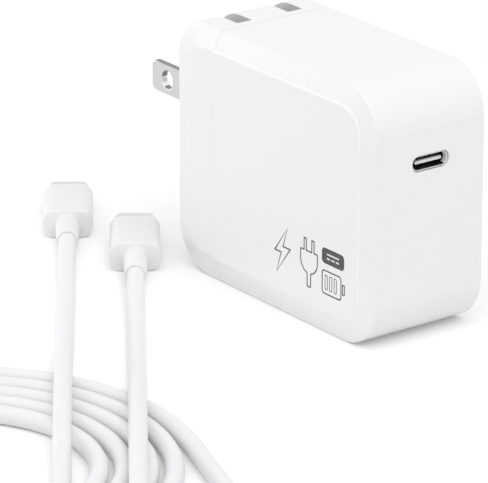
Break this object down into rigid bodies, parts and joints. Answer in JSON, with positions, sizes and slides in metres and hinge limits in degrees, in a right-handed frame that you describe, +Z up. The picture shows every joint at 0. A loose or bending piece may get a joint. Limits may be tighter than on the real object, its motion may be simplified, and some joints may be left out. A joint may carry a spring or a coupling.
{
  "type": "laptop power adapter",
  "caption": "Compact white wall charger with folding mains prongs, a USB-C port and a separate coiled USB-C lead.",
  "frame": {"origin": "middle of the narrow side that the charger stands on, halfway between its prong face and its port face", "axes": "+X towards the port face (the prongs point to -X), +Y through the thickness away from the panel that carries the rating print, +Z up from the side it stands on"},
  "size_m": [0.1858, 0.1743, 0.0537],
  "materials": {
    "housing_white": "satin, very fine moulded grain",
    "nickel_plate": "nickel-plated brass, polished with fine lengthwise brushing",
    "inner_plastic": "plain moulded",
    "spring_steel": "rolled",
    "contact_brass": "stamped",
    "connector_steel": "satin nickel on stainless sheet",
    "black_insulator": "plain moulded",
    "circuit_board": "green solder mask",
    "ferrite": "ground ferrite",
    "copper_winding": "enamelled copper wire",
    "capacitor_sleeve": "shrink sleeve",
    "yellow_film_case": "moulded box",
    "blue_ceramic": "dipped coating",
    "fuse_ceramic": "glazed tube",
    "aluminium_sheet": "rolled",
    "amber_film": "insulating film",
    "lead_white": "satin thermoplastic elastomer"
  },
  "bodies": {
    "charger": {"main_shell": "housing_white", "end_cap": "housing_white", "hub_retainer": "inner_plastic", "detent_spring": "spring_steel", "line_contact": "contact_brass", "neutral_contact": "contact_brass", "usb_port_shell": "connector_steel", "usb_port_tongue": "black_insulator", "output_board": "circuit_board", "main_board": "circuit_board", "transformer_core": "ferrite", "transformer_bobbin": "black_insulator", "transformer_winding": "copper_winding", "bulk_capacitors": "capacitor_sleeve", "choke_core": "ferrite", "choke_windings": "copper_winding", "suppression_capacitor": "yellow_film_case", "safety_capacitor": "blue_ceramic", "fuse": "fuse_ceramic", "bridge_rectifier": "black_insulator", "power_switch": "black_insulator", "output_capacitors": "aluminium_sheet", "heat_spreader": "aluminium_sheet", "insulating_film": "amber_film", "plug_shell_a": "connector_steel", "plug_insert_a": "black_insulator", "plug_grip_a": "lead_white", "strain_relief_a": "lead_white", "plug_shell_b": "connector_steel", "plug_insert_b": "black_insulator", "plug_grip_b": "lead_white", "strain_relief_b": "lead_white", "cable_run_a": "lead_white", "cable_run_b": "lead_white", "cable_coil": "lead_white"},
    "prongs": {"prong_hub": "housing_white", "line_blade": "nickel_plate", "neutral_blade": "nickel_plate"}
  },
  "joints": [
    {"name": "prong_fold", "type": "hinge", "parent": "charger", "child": "prongs", "pos_m": [-0.0289, 0, 0.0314], "axis": [0, 1, 0], "range_deg": [0, 90]}
  ]
}
